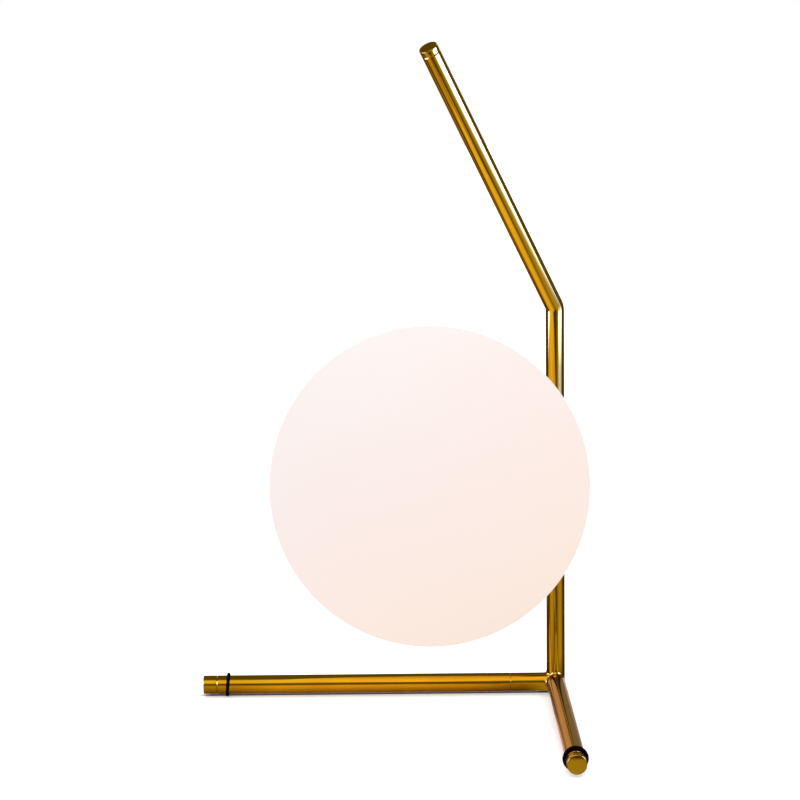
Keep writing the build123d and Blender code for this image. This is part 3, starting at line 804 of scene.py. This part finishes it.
class LAMP_OT_tubes(LampOperator, bpy.types.Operator):
    """Makes the bent post and the two legs as tubes, bevelled where their caps go in"""

    bl_idname = "lamp.tubes"
    bl_label = "Tubes"

    def bent(self, sizes, name, start, bend, end):
        """A tube with one bend, square at its start and bevelled at its end: its half section carried
        round the bent line, with each radius laid off along the direction at each angle of the turn."""
        radius = sizes.bend_radius
        first, last, swing, before, after = bend_measures(start, bend, end, radius)
        arc_end = before + radius * swing
        total = arc_end + after
        runs = (
            (0, before, STRAIGHT_POINTS),
            (before, arc_end, BEND_POINTS),
            (arc_end, total, STRAIGHT_POINTS),
        )
        stations = np.unique(np.concatenate([np.linspace(*run) for run in runs]))
        loop = tube_loop(sizes, total, 0.0, stations)
        centre, inward = bent_line(loop[:, 0], start, radius, first, last, swing, before)
        across = unit(np.cross(first, last))
        turn = circle(TUBE_SIDES)[None, :, None]
        ray = np.cos(turn) * inward[:, None] + np.sin(turn) * across
        along, wide = loop[:, 0][:, None, None], loop[:, 1][:, None, None]
        return skin(name, centre[:, None] + wide * ray, own_place(wide, along, turn), closed_rows=True)

    def straight(self, sizes, name, axis, start, end, start_round):
        """A tube along an axis of the corner, between two distances from it."""
        total = end - start
        loop = tube_loop(sizes, total, start_round, np.linspace(0, total, STRAIGHT_POINTS))
        return skin(name, *turned(loop[:, ::-1], CORNER + axis * start, axis, TUBE_SIDES), closed_rows=True)

    def execute(self, context):
        sizes, tones = self.settings(context)
        finish = brass("drawn_brass", tones, lay=True)
        bend, direction, tip = self.arm(sizes)
        seam = self.cap_seam(sizes)
        brazed = sizes.corner_reach - sizes.brazed_lap
        post = self.bent(sizes, "post_tube", CORNER + UP * brazed, bend, tip - direction * sizes.top_cap)
        dress(post, finish, "frame", "brass", "upright_post")
        left = self.straight(sizes, "left_leg_tube", LEFT, sizes.stub, seam, sizes.stub_seam)
        dress(left, finish, "frame", "brass", "left_leg")
        front = self.straight(sizes, "front_leg_tube", FRONT, brazed, seam, 0.0)
        dress(front, finish, "frame", "brass", "front_leg")
        return {"FINISHED"}


class LAMP_OT_corner(LampOperator, bpy.types.Operator):
    """Makes the brazed corner where the post and both legs meet, with its fillets"""

    bl_idname = "lamp.corner"
    bl_label = "Corner"

    def field(self, sizes):
        """Distance to the corner: round arms along five half axes, whose joins are filled where the arms'
        walls stand at an angle, cut off at the seams and opened at the back for the cord."""
        radius = sizes.tube / 2 - CORNER_SINK
        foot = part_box("corner_foot")[1].z
        arms = np.stack([UP, LEFT, FRONT, -FRONT, -UP])
        up, left, front, back = range(4)
        joins = ((up, left), (up, front), (left, front), (up, back), (left, back))
        least_apart = 1e-6
        no_cut = -1.0

        def distance(points):
            """Distance at points: to the nearest arm's wall, less the fillets, or to a cut if that is
            greater. A fillet grows with one less the cosine between the directions of two walls."""
            spot = points - CORNER
            along = np.clip(spot @ arms.T, 0, None)
            wall = spot[..., None, :] - along[..., None] * arms
            wide = np.linalg.norm(wall, axis=-1)
            facing = wall / np.maximum(wide, TINY)[..., None]
            gap = wide - radius
            solid = gap.min(-1)
            for first, second in joins:
                apart = 1 - np.sum(facing[..., first, :] * facing[..., second, :], -1)
                ease = sizes.corner_fillet * np.clip(apart, least_apart, 1)
                solid = solid - easing(gap[..., first], gap[..., second], ease)
            solid = np.maximum(solid, spot @ UP - sizes.corner_reach)
            solid = np.maximum(solid, spot @ FRONT - sizes.corner_reach)
            solid = np.maximum(solid, foot - points[..., 2])
            solid = blunt(solid, -spot @ FRONT - sizes.rear_reach, sizes.rear_round)
            solid = blunt(solid, spot @ LEFT - sizes.stub, 4 * sizes.stub_seam)
            return np.maximum(solid, np.where(spot[..., 1] > 0, sizes.outlet - wide[..., back], no_cut))

        return distance

    def execute(self, context):
        sizes, tones = self.settings(context)
        low, high = (np.array(end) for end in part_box("corner_joint"))
        low[1] = -sizes.corner_reach
        high[2] = AXIS_Z + sizes.corner_reach
        low, high = low - CORNER_MARGIN, high + CORNER_MARGIN
        corner = shrink_wrap("brazed_corner", self.field(sizes), low, high, CORNER_STEP)
        dress(corner, brass("cast_brass", tones, lay=False), "frame", "brass", "corner_joint")
        return {"FINISHED"}


class LAMP_OT_caps(LampOperator, bpy.types.Operator):
    """Makes the three end caps as turned plugs with rounded edges"""

    bl_idname = "lamp.caps"
    bl_label = "End caps"

    def execute(self, context):
        sizes, tones = self.settings(context)
        finish = brass("turned_brass", tones, lay=True)
        outer = sizes.tube / 2
        spigot = outer - sizes.tube_wall - sizes.spigot_fit
        _, direction, tip = self.arm(sizes)
        seam = self.cap_seam(sizes)
        caps = (
            ("top_plug", "top_cap", tip - direction * sizes.top_cap, direction, sizes.top_cap),
            ("left_plug", "left_leg_cap", CORNER + LEFT * seam, LEFT, sizes.leg_cap),
            ("front_plug", "front_leg_cap", CORNER + FRONT * seam, FRONT, sizes.leg_cap),
        )
        radii = (0, sizes.spigot_round, 0, sizes.stub_seam, sizes.cap_round, 0)
        for name, node, origin, axis, head in caps:
            inside = ((0, -sizes.spigot), (spigot, -sizes.spigot), (spigot, 0))
            outside = ((outer, 0), (outer, head), (0, head))
            profile = rounded(inside + outside, radii)
            cap = skin(name, *turned(profile, origin, axis, CAP_SIDES))
            dress(cap, finish, "frame", "brass", node)
        return {"FINISHED"}


class LAMP_OT_foot_rings(LampOperator, bpy.types.Operator):
    """Makes the rubber rings near the legs' ends"""

    bl_idname = "lamp.foot_rings"
    bl_label = "Foot rings"

    def execute(self, context):
        sizes, tones = self.settings(context)
        finish = speckled("black_rubber", tones.rubber, rough=0.6, grain=3000.0)
        place = sizes.leg_length - sizes.ring_from_end
        half_thick, half_wide = sizes.ring / 2, sizes.ring_width / 2
        turn = circle(RING_SECTION_POINTS)
        middle = sizes.tube / 2 + half_thick
        section = np.stack([middle + half_thick * np.cos(turn), half_wide * np.sin(turn)], -1)
        rings = (
            ("left_ring", "left_foot_ring", LEFT, sizes.ring_slip, Matrix.Rotation(sizes.ring_skew, 3, "Y")),
            ("front_ring", "front_foot_ring", FRONT, 0.0, Matrix.Identity(3)),
        )
        for name, node, axis, slip, tilt in rings:
            grid, lay = turned(section, np.zeros(3), axis, RING_SIDES)
            grid = grid @ np.array(tilt).T + CORNER + axis * (place - slip)
            dress(skin(name, grid, lay, closed_rows=True), finish, "frame", "black_rubber", node)
        return {"FINISHED"}


class LAMP_OT_globe(LampOperator, bpy.types.Operator):
    """Makes the opal globe with a rounded lip at its mouth"""

    bl_idname = "lamp.globe"
    bl_label = "Globe"

    def profile(self, sizes):
        """Half section of the globe as (radius, height): the radius of the ball by the sine and the
        cosine of the angle from its front, outside to the mouth and inside back from it, with the rounded
        lip between them."""
        outer, mouth = sizes.globe / 2, sizes.mouth / 2
        inner = outer - sizes.globe_wall
        open_outer, open_inner = (np.pi - np.arcsin((mouth + sizes.lip) / ball) for ball in (outer, inner))
        outside = np.linspace(0, open_outer, GLOBE_OUTSIDE_POINTS)
        inside = np.linspace(open_inner, 0, GLOBE_INSIDE_POINTS)
        skirt = outer * np.stack([np.sin(outside), np.cos(outside)], -1)
        lining = inner * np.stack([np.sin(inside), np.cos(inside)], -1)
        outer_edge, inner_edge = ((mouth, -sqrt(ball**2 - mouth**2)) for ball in (outer, inner))
        edge = rounded([skirt[-1], outer_edge, inner_edge, lining[0]], (0, sizes.lip, sizes.lip, 0))
        skirt[0, 0] = lining[-1, 0] = 0
        return np.concatenate([skirt[:-1], edge, lining[1:]])

    def execute(self, context):
        sizes, tones = self.settings(context)
        centre = UP * sizes.globe_z + TOWARD_GLOBE * sizes.globe_offset
        globe = skin("opal_globe", *turned(self.profile(sizes), centre, TOWARD_GLOBE, GLOBE_SIDES))
        dress(globe, opal(tones, centre, sizes.globe / 2), "globe", "opal_glass", "globe_glass")
        return {"FINISHED"}


class LAMP_OT_holder(LampOperator, bpy.types.Operator):
    """Makes the spun cup that covers the globe's mouth"""

    bl_idname = "lamp.holder"
    bl_label = "Holder cup"

    def execute(self, context):
        sizes, tones = self.settings(context)
        hole, wide, sheet = sizes.cup_hole, sizes.cup / 2, sizes.cup_sheet
        back, rim = sizes.cup_back, sizes.cup_rim
        outside = ((hole, back), (wide, back), (wide, rim))
        inside = ((wide - sheet, rim), (wide - sheet, back + sheet), (hole, back + sheet))
        radii = (0, sizes.cup_round, sizes.rim_round, sizes.rim_round, sizes.cup_round - sheet, 0)
        profile = rounded(outside + inside, radii, CUP_EDGE_POINTS)
        surface = turned(profile, UP * sizes.globe_z, TOWARD_GLOBE, CUP_SIDES)
        cup = skin("spun_cup", *surface, closed_rows=True)
        dress(cup, brass("spun_brass", tones, lay=False), "frame", "brass", "holder_cup")
        return {"FINISHED"}


class LAMP_OT_fittings(LampOperator, bpy.types.Operator):
    """Gives the pieces that keep their own shape a fitting finish"""

    bl_idname = "lamp.fittings"
    bl_label = "Fittings"

    def execute(self, context):
        _, tones = self.settings(context)
        own = {
            "holder_stem": brass("stem_brass", tones, lay=False),
            "corner_foot": speckled("foot_rubber", tones.rubber, rough=0.65, grain=2500.0),
        }
        by_slot = {}
        for material in frame["record"]["materials"]:
            if material["slot"] in FITTINGS:
                name, *look = FITTINGS[material["slot"]]
                by_slot[material["slot"]] = speckled(name, material["base_color"][:3], *look)
        for part in frame["record"]["subparts"]:
            finish = own.get(part["node"], by_slot.get(part["material_slot"]))
            if finish is not None:
                slots = frame["nodes"][part["node"]].data.materials
                slots.clear()
                slots.append(finish)
        return {"FINISHED"}


class LAMP_OT_stage(bpy.types.Operator):
    """Sets the floor, the studio's light and reflectors, and the camera"""

    bl_idname = "lamp.stage"
    bl_label = "Stage"

    def floor(self, stage):
        """A square floor that reaches the same way to each side of the lamp, in metres."""
        reach = 8.0
        piece = rectangle("floor", np.zeros(3), -LEFT * reach, -FRONT * reach)
        piece.data.materials.append(FloorFinish("pale_floor", stage).material)

    def light(self, stage):
        """Soft light from above on matt surfaces, a dim room for glossy ones, white behind the lamp."""
        world = bpy.data.worlds.new("studio")
        bpy.context.scene.world = world
        world.use_nodes = True
        world.cycles.sampling_method = "NONE"
        studio = Nodes(world.node_tree)
        direction = studio.node("ShaderNodeTexCoord").outputs["Generated"]
        height = studio.node("ShaderNodeSeparateXYZ", Vector=direction).outputs["Z"]
        strength = studio.node(
            "ShaderNodeMapRange", interpolation_type="SMOOTHSTEP", Value=height,
            To_Min=stage.horizon, To_Max=stage.sky,
        ).outputs["Result"]
        for rays, light in (("Is Glossy Ray", stage.room), ("Is Camera Ray", stage.backdrop)):
            strength = studio.for_rays(rays, strength, light)
        background = world.node_tree.nodes["Background"]
        studio.feed(background.inputs["Color"], (1, 1, 1, 1))
        studio.feed(background.inputs["Strength"], strength)

    @staticmethod
    def rising(strength, foot_share, low, high, way=UP):
        """Brightness that rises along a way, from a share at a low place to all of it at a high one."""
        return lambda finish, _: finish.spread(finish.along(way), foot_share * strength, strength, low, high)

    @staticmethod
    def both(first, second):
        """Brightness that is the product of two."""
        return lambda finish, centre: finish.times(first(finish, centre), second(finish, centre))

    @staticmethod
    def rounded_off(strength, rim_share, near, far):
        """Brightness that falls from all of it near the card's centre to a share at its rim."""
        return lambda finish, centre: finish.pool(centre, near, far, strength, rim_share * strength)

    def card(self, name, centre, facing, size, tint, glow):
        """A reflector that only glossy surfaces see, and only at first hand. It stands upright and faces
        a point: its side is square to its normal and to upwards, and its rise to both. The glow gives its
        brightness."""
        normal = unit(np.subtract(facing, centre))
        side = unit(np.cross(normal, UP))
        rise = np.cross(side, normal)
        piece = rectangle(name, np.array(centre), side * size[0] / 2, rise * size[1] / 2)
        finish = Finish(name, Base_Color=(0, 0, 0, 1), Emission_Color=(*tint, 1))
        first_hand = finish.spread(finish.ray("Ray Depth"), 1.0, 0.0, FIRST_HAND, SECOND_HAND)
        finish.give(Emission_Strength=finish.times(glow(finish, centre), first_hand))
        piece.data.materials.append(finish.material)
        for rays in ("camera", "diffuse", "shadow", "transmission"):
            setattr(piece, "visible_" + rays, False)

    def cards(self, stage):
        """The reflectors: each has a centre, a point it faces, a width and height, a tint and a glow."""
        cold, cool, white = stage.key_tint, stage.cool_tint, (1, 1, 1)
        toward_front = (0, -1, 0.8)
        right = self.both(
            self.rising(stage.right_card, foot_share=0.2, low=0.157, high=0.2),
            self.rising(1.0, foot_share=0.4, low=0.19, high=0.29, way=toward_front),
        )
        left = self.rising(stage.left_card, foot_share=0.08, low=0.1, high=0.15)
        top = self.rounded_off(stage.top_card, rim_share=0.1, near=0.3, far=0.75)
        back = partial(self.rounded_off, rim_share=0.8, near=0.1, far=0.3)
        back_left, back_right = back(stage.back_card), back(stage.back_card / 2)
        rear = partial(self.rounded_off, rim_share=0.3, near=0.1, far=0.4)
        side_share = 0.35
        rear_side, rear_top = rear(side_share * stage.rear_card), rear(stage.rear_card)
        for card in (
            ("right_reflector", (0.456, -0.205, 0.32), (0, 0, 0.32), (0.45, 0.48), cold, right),
            ("left_reflector", (-0.858, -0.285, 0.29), (0, 0, 0.29), (0.7, 0.5), cold, left),
            ("top_reflector", (-0.26, -0.9, 0.93), (-0.2, 0, 0), (1.0, 1.5), white, top),
            ("back_left_reflector", (-0.36, 1.47, 0.25), (0, 0, 0.25), (0.5, 0.44), white, back_left),
            ("rear_left_reflector", (-0.8, 0.85, 1.0), (0, 0, 0.3), (0.6, 0.6), white, rear_side),
            ("rear_right_reflector", (0.48, 0.9, 1.0), (0, 0, 0.3), (0.6, 0.6), white, rear_side),
            ("rear_top_reflector", (0.45, 0.65, 1.4), (0, 0, 0.3), (0.6, 0.6), white, rear_top),
            ("back_right_reflector", (0.25, 1.47, 0.25), (0, 0, 0.25), (0.4, 0.44), cool, back_right),
        ):
            self.card(*card)

    def camera(self, stage):
        """A camera at a distance from the point it looks at. Yaw turns it level, pitch tips its forward
        direction down, and roll turns its side and top about that direction."""
        yaw, pitch, roll = stage.yaw, stage.pitch, stage.roll
        forward = np.array((sin(yaw) * cos(pitch), cos(yaw) * cos(pitch), -sin(pitch)))
        level = np.array((cos(yaw), -sin(yaw), 0.0))
        rise = np.cross(level, forward)
        side = level * cos(roll) + rise * sin(roll)
        top = rise * cos(roll) - level * sin(roll)
        place = np.array(stage.look_at) - forward * stage.distance
        data = bpy.data.cameras.new("camera")
        data.lens = stage.lens
        data.sensor_width = stage.sensor
        data.sensor_fit = "HORIZONTAL"
        camera = put("camera", data)
        camera.matrix_world = Matrix([*np.column_stack([side, top, -forward, place]).tolist(), (0, 0, 0, 1)])
        bpy.context.scene.camera = camera

    def execute(self, context):
        stage = context.scene.lamp_stage
        self.floor(stage)
        self.light(stage)
        self.cards(stage)
        self.camera(stage)
        view = context.scene.view_settings
        view.view_transform = "Standard"
        view.look = "None"
        return {"FINISHED"}


class LAMP_PT_sidebar(bpy.types.Panel):
    """Lists the lamp's operators and settings"""

    bl_idname = "LAMP_PT_sidebar"
    bl_label = "Globe table lamp"
    bl_space_type = "VIEW_3D"
    bl_region_type = "UI"
    bl_category = "Lamp"

    def draw(self, context):
        for operator in OPERATORS:
            self.layout.operator(operator.bl_idname)
        for group in (context.scene.lamp_sizes, context.scene.lamp_finish, context.scene.lamp_stage):
            box = self.layout.box()
            for name in group.__annotations__:
                box.prop(group, name)


OPERATORS = (
    LAMP_OT_stage,
    LAMP_OT_tubes,
    LAMP_OT_corner,
    LAMP_OT_caps,
    LAMP_OT_foot_rings,
    LAMP_OT_globe,
    LAMP_OT_holder,
    LAMP_OT_fittings,
)
CLASSES = (LampSizes, LampFinish, LampStage, *OPERATORS, LAMP_PT_sidebar)


def register():
    """Registers the classes and gives the scene its settings."""
    for item in CLASSES:
        bpy.utils.register_class(item)
    bpy.types.Scene.lamp_sizes = PointerProperty(type=LampSizes)
    bpy.types.Scene.lamp_finish = PointerProperty(type=LampFinish)
    bpy.types.Scene.lamp_stage = PointerProperty(type=LampStage)


def unregister():
    """Takes the settings and the classes away again."""
    del bpy.types.Scene.lamp_stage, bpy.types.Scene.lamp_finish, bpy.types.Scene.lamp_sizes
    for item in reversed(CLASSES):
        bpy.utils.unregister_class(item)


def main():
    """Makes the lamp and its stage."""
    register()
    for operator in OPERATORS:
        group, name = operator.bl_idname.split(".")
        getattr(getattr(bpy.ops, group), name)()


if __name__ == "__main__":
    main()
